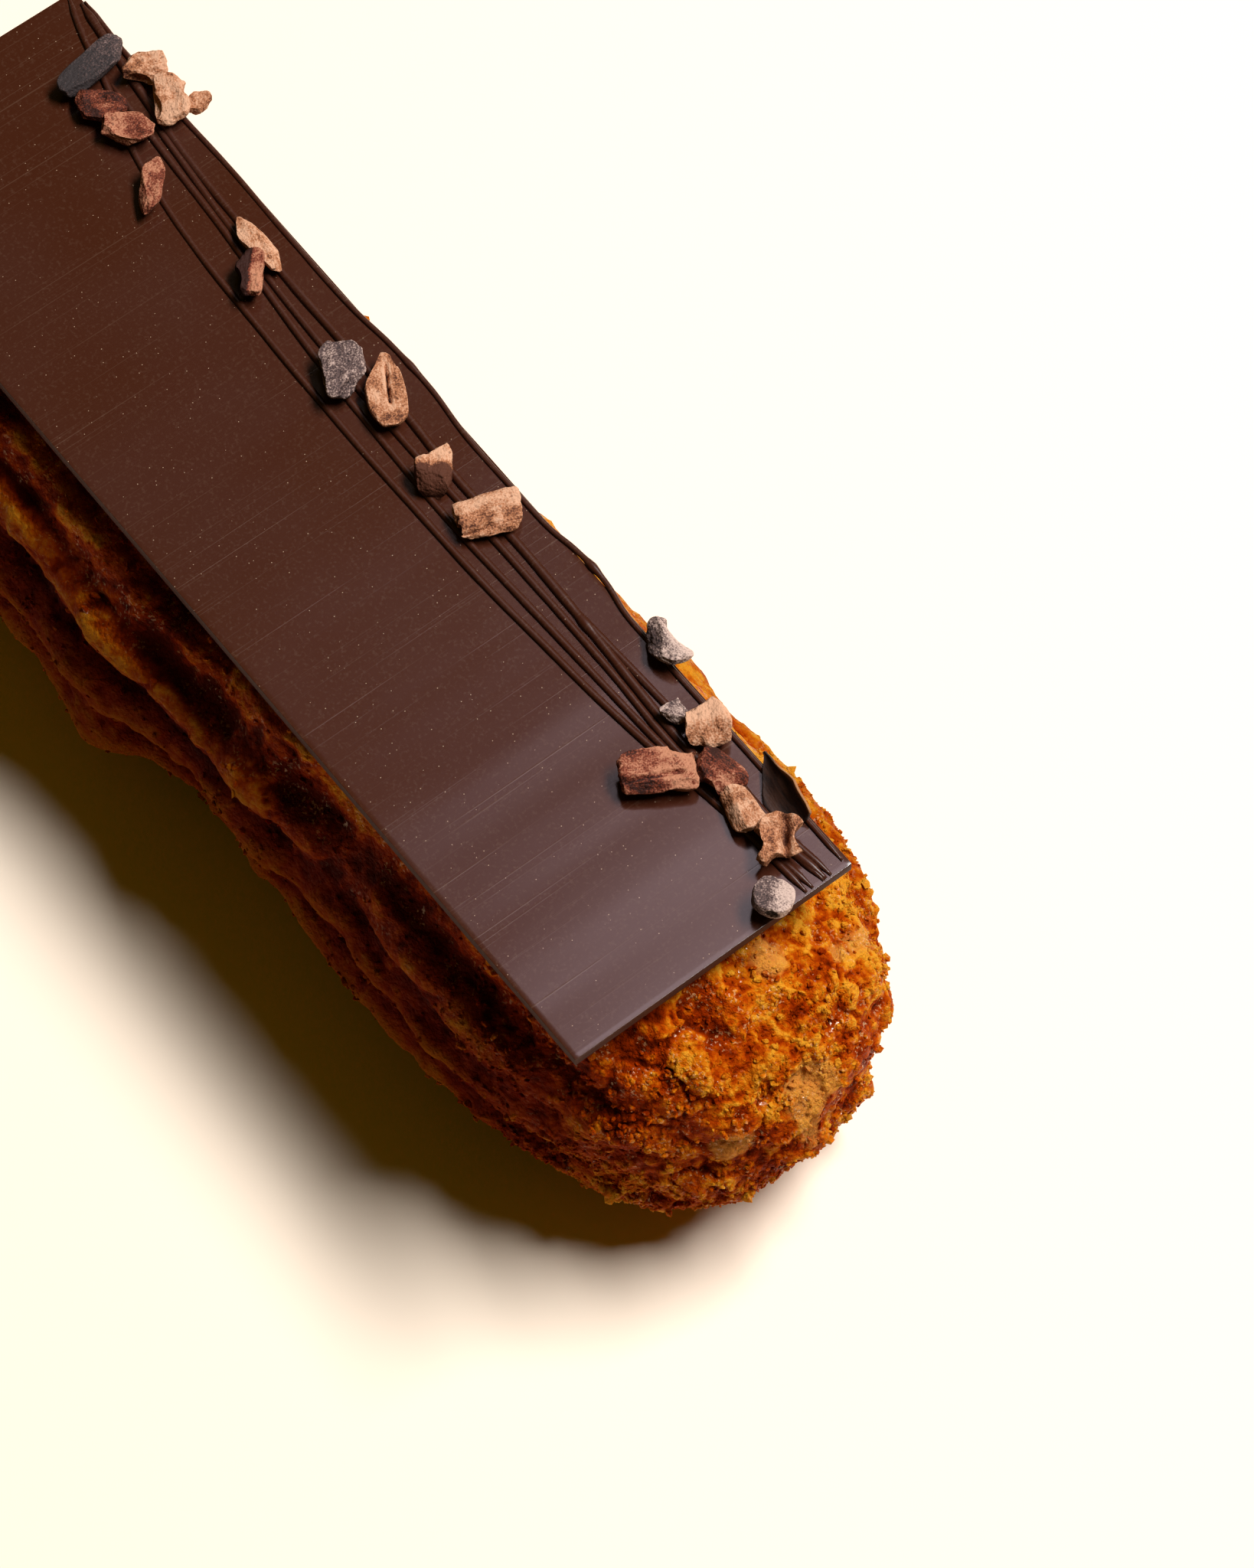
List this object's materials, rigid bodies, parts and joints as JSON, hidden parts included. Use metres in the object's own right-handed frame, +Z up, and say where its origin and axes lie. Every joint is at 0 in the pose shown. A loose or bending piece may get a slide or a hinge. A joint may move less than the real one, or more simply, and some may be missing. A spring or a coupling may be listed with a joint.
{
  "type": "chocolate eclair",
  "caption": "Long choux pastry eclair with a ribbed, crumbly crust, topped with a thin rectangular dark chocolate plaque, piped chocolate threads and cocoa nibs.",
  "frame": {"origin": "middle of the whole eclair's footprint, on the surface it rests on", "axes": "+X along the eclair, towards the end with the most cocoa nibs; +Y across it, towards the plaque's edge that carries the threads and nibs; +Z up"},
  "size_m": [0.136, 0.0452, 0.0391],
  "materials": {
    "choux": "baked choux crust under a crumbly craquelin: golden to deep brown, matt, rough and ribbed, with paler patches of bare pastry",
    "chocolate": "tempered dark chocolate with a satin sheen and faint streaks across; glossier piped threads",
    "nib_tan": "broken cocoa nib, tan and pinkish, matt and dusty",
    "nib_brown": "roasted cocoa nib, red-brown, matt, with pale edges",
    "nib_grey": "cocoa nib with a grey bloom, matt",
    "husk": "thin shard of dark cocoa husk, slightly glossy"
  },
  "bodies": {
    "root": {"choux_shell": "choux", "chocolate_plaque": "chocolate"}
  },
  "joints": []
}
